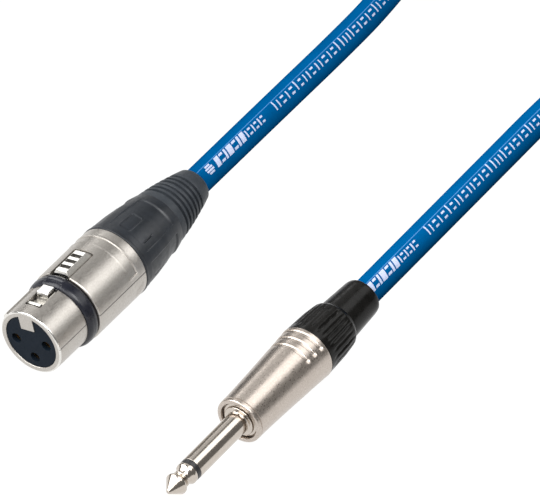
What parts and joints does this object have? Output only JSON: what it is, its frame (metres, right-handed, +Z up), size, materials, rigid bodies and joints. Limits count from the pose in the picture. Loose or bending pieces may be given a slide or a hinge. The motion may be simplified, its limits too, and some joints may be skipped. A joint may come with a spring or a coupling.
{
  "type": "xlr to jack audio cable coil",
  "caption": "Blue microphone cable with a female XLR connector and a mono jack plug, its spare length wound into a tied round coil.",
  "frame": {"origin": "on the surface that the lead lies on, under the middle of the XLR connector", "axes": "+X along the XLR connector from its mating face to its cable, +Y away from the jack plug, +Z up"},
  "size_m": [0.3197, 0.1032, 0.0342],
  "materials": {
    "satin_nickel": "satin, fine blasted",
    "insert_plastic": "moulded",
    "contact_gold": "plated",
    "ring_rubber": "smooth",
    "latch_nickel": "satin",
    "spring_steel": "plain",
    "black_nylon": "moulded",
    "bushing_plastic": "moulded",
    "boot_rubber": "moulded",
    "core_red": "extruded",
    "core_white": "extruded",
    "copper": "twisted strands",
    "polished_nickel": "polished",
    "cream_insulator": "plain",
    "handle_nickel": "satin",
    "jack_black": "moulded",
    "cable_blue": "extruded, semi-gloss",
    "tie_fabric": "hook and loop"
  },
  "bodies": {
    "root": {"xlr_shell": "satin_nickel", "xlr_insert": "insert_plastic", "xlr_contact_1": "contact_gold", "xlr_contact_2": "contact_gold", "xlr_contact_3": "contact_gold", "xlr_seal_ring": "ring_rubber", "xlr_latch_pin": "spring_steel", "xlr_latch_spring": "spring_steel", "xlr_ground_spring": "spring_steel", "xlr_red_core": "core_red", "xlr_white_core": "core_white", "xlr_shield_tail": "copper", "jack_tip": "polished_nickel", "jack_tip_ring": "black_nylon", "jack_shaft": "polished_nickel", "jack_rod_insulator": "cream_insulator", "jack_rear_insulator": "cream_insulator", "jack_tip_lug": "contact_gold", "jack_ground_strap": "spring_steel", "jack_handle": "handle_nickel", "jack_core": "core_red", "jack_shield_tail": "copper", "xlr_lead": "cable_blue", "cable_coil": "cable_blue", "jack_lead": "cable_blue", "cable_tie": "tie_fabric"},
    "latch": {"xlr_latch": "latch_nickel"},
    "xlr_chuck_body": {"xlr_chuck": "black_nylon"},
    "xlr_back": {"xlr_bushing": "bushing_plastic", "xlr_boot": "boot_rubber"},
    "jack_chuck_body": {"jack_chuck": "black_nylon"},
    "jack_back": {"jack_bushing": "jack_black", "jack_boot": "jack_black"}
  },
  "joints": [
    {"name": "latch_press", "type": "hinge", "parent": "root", "child": "latch", "pos_m": [-0.00775, 0.00194, 0.01856], "axis": [0, -0.9703, 0.2419], "range_deg": [0, 3.5], "stiffness_Nm_per_rad": 1, "springref_deg": -1.72, "deforming": ["xlr_latch_spring"]},
    {"name": "xlr_chuck_slide", "type": "slide", "parent": "root", "child": "xlr_chuck_body", "axis": [1, 0, 0], "range_m": [0, 0.0045]},
    {"name": "xlr_bushing_turn", "type": "hinge", "parent": "xlr_chuck_body", "child": "xlr_back", "pos_m": [0, 0, 0.0108], "axis": [1, 0, 0], "range_deg": [0, 1650]},
    {"name": "jack_chuck_slide", "type": "slide", "parent": "root", "child": "jack_chuck_body", "axis": [0.9999, 0.012, 0], "range_m": [0, 0.003]},
    {"name": "jack_bushing_turn", "type": "hinge", "parent": "jack_chuck_body", "child": "jack_back", "pos_m": [0.002, -0.05858, 0.0081], "axis": [0.9999, 0.012, 0], "range_deg": [0, 1470]}
  ],
  "couplings": [
    {"joint": "xlr_bushing_turn", "follows": "xlr_chuck_slide", "rad_per_m": 6283.2},
    {"joint": "jack_bushing_turn", "follows": "jack_chuck_slide", "rad_per_m": 8377.6}
  ]
}
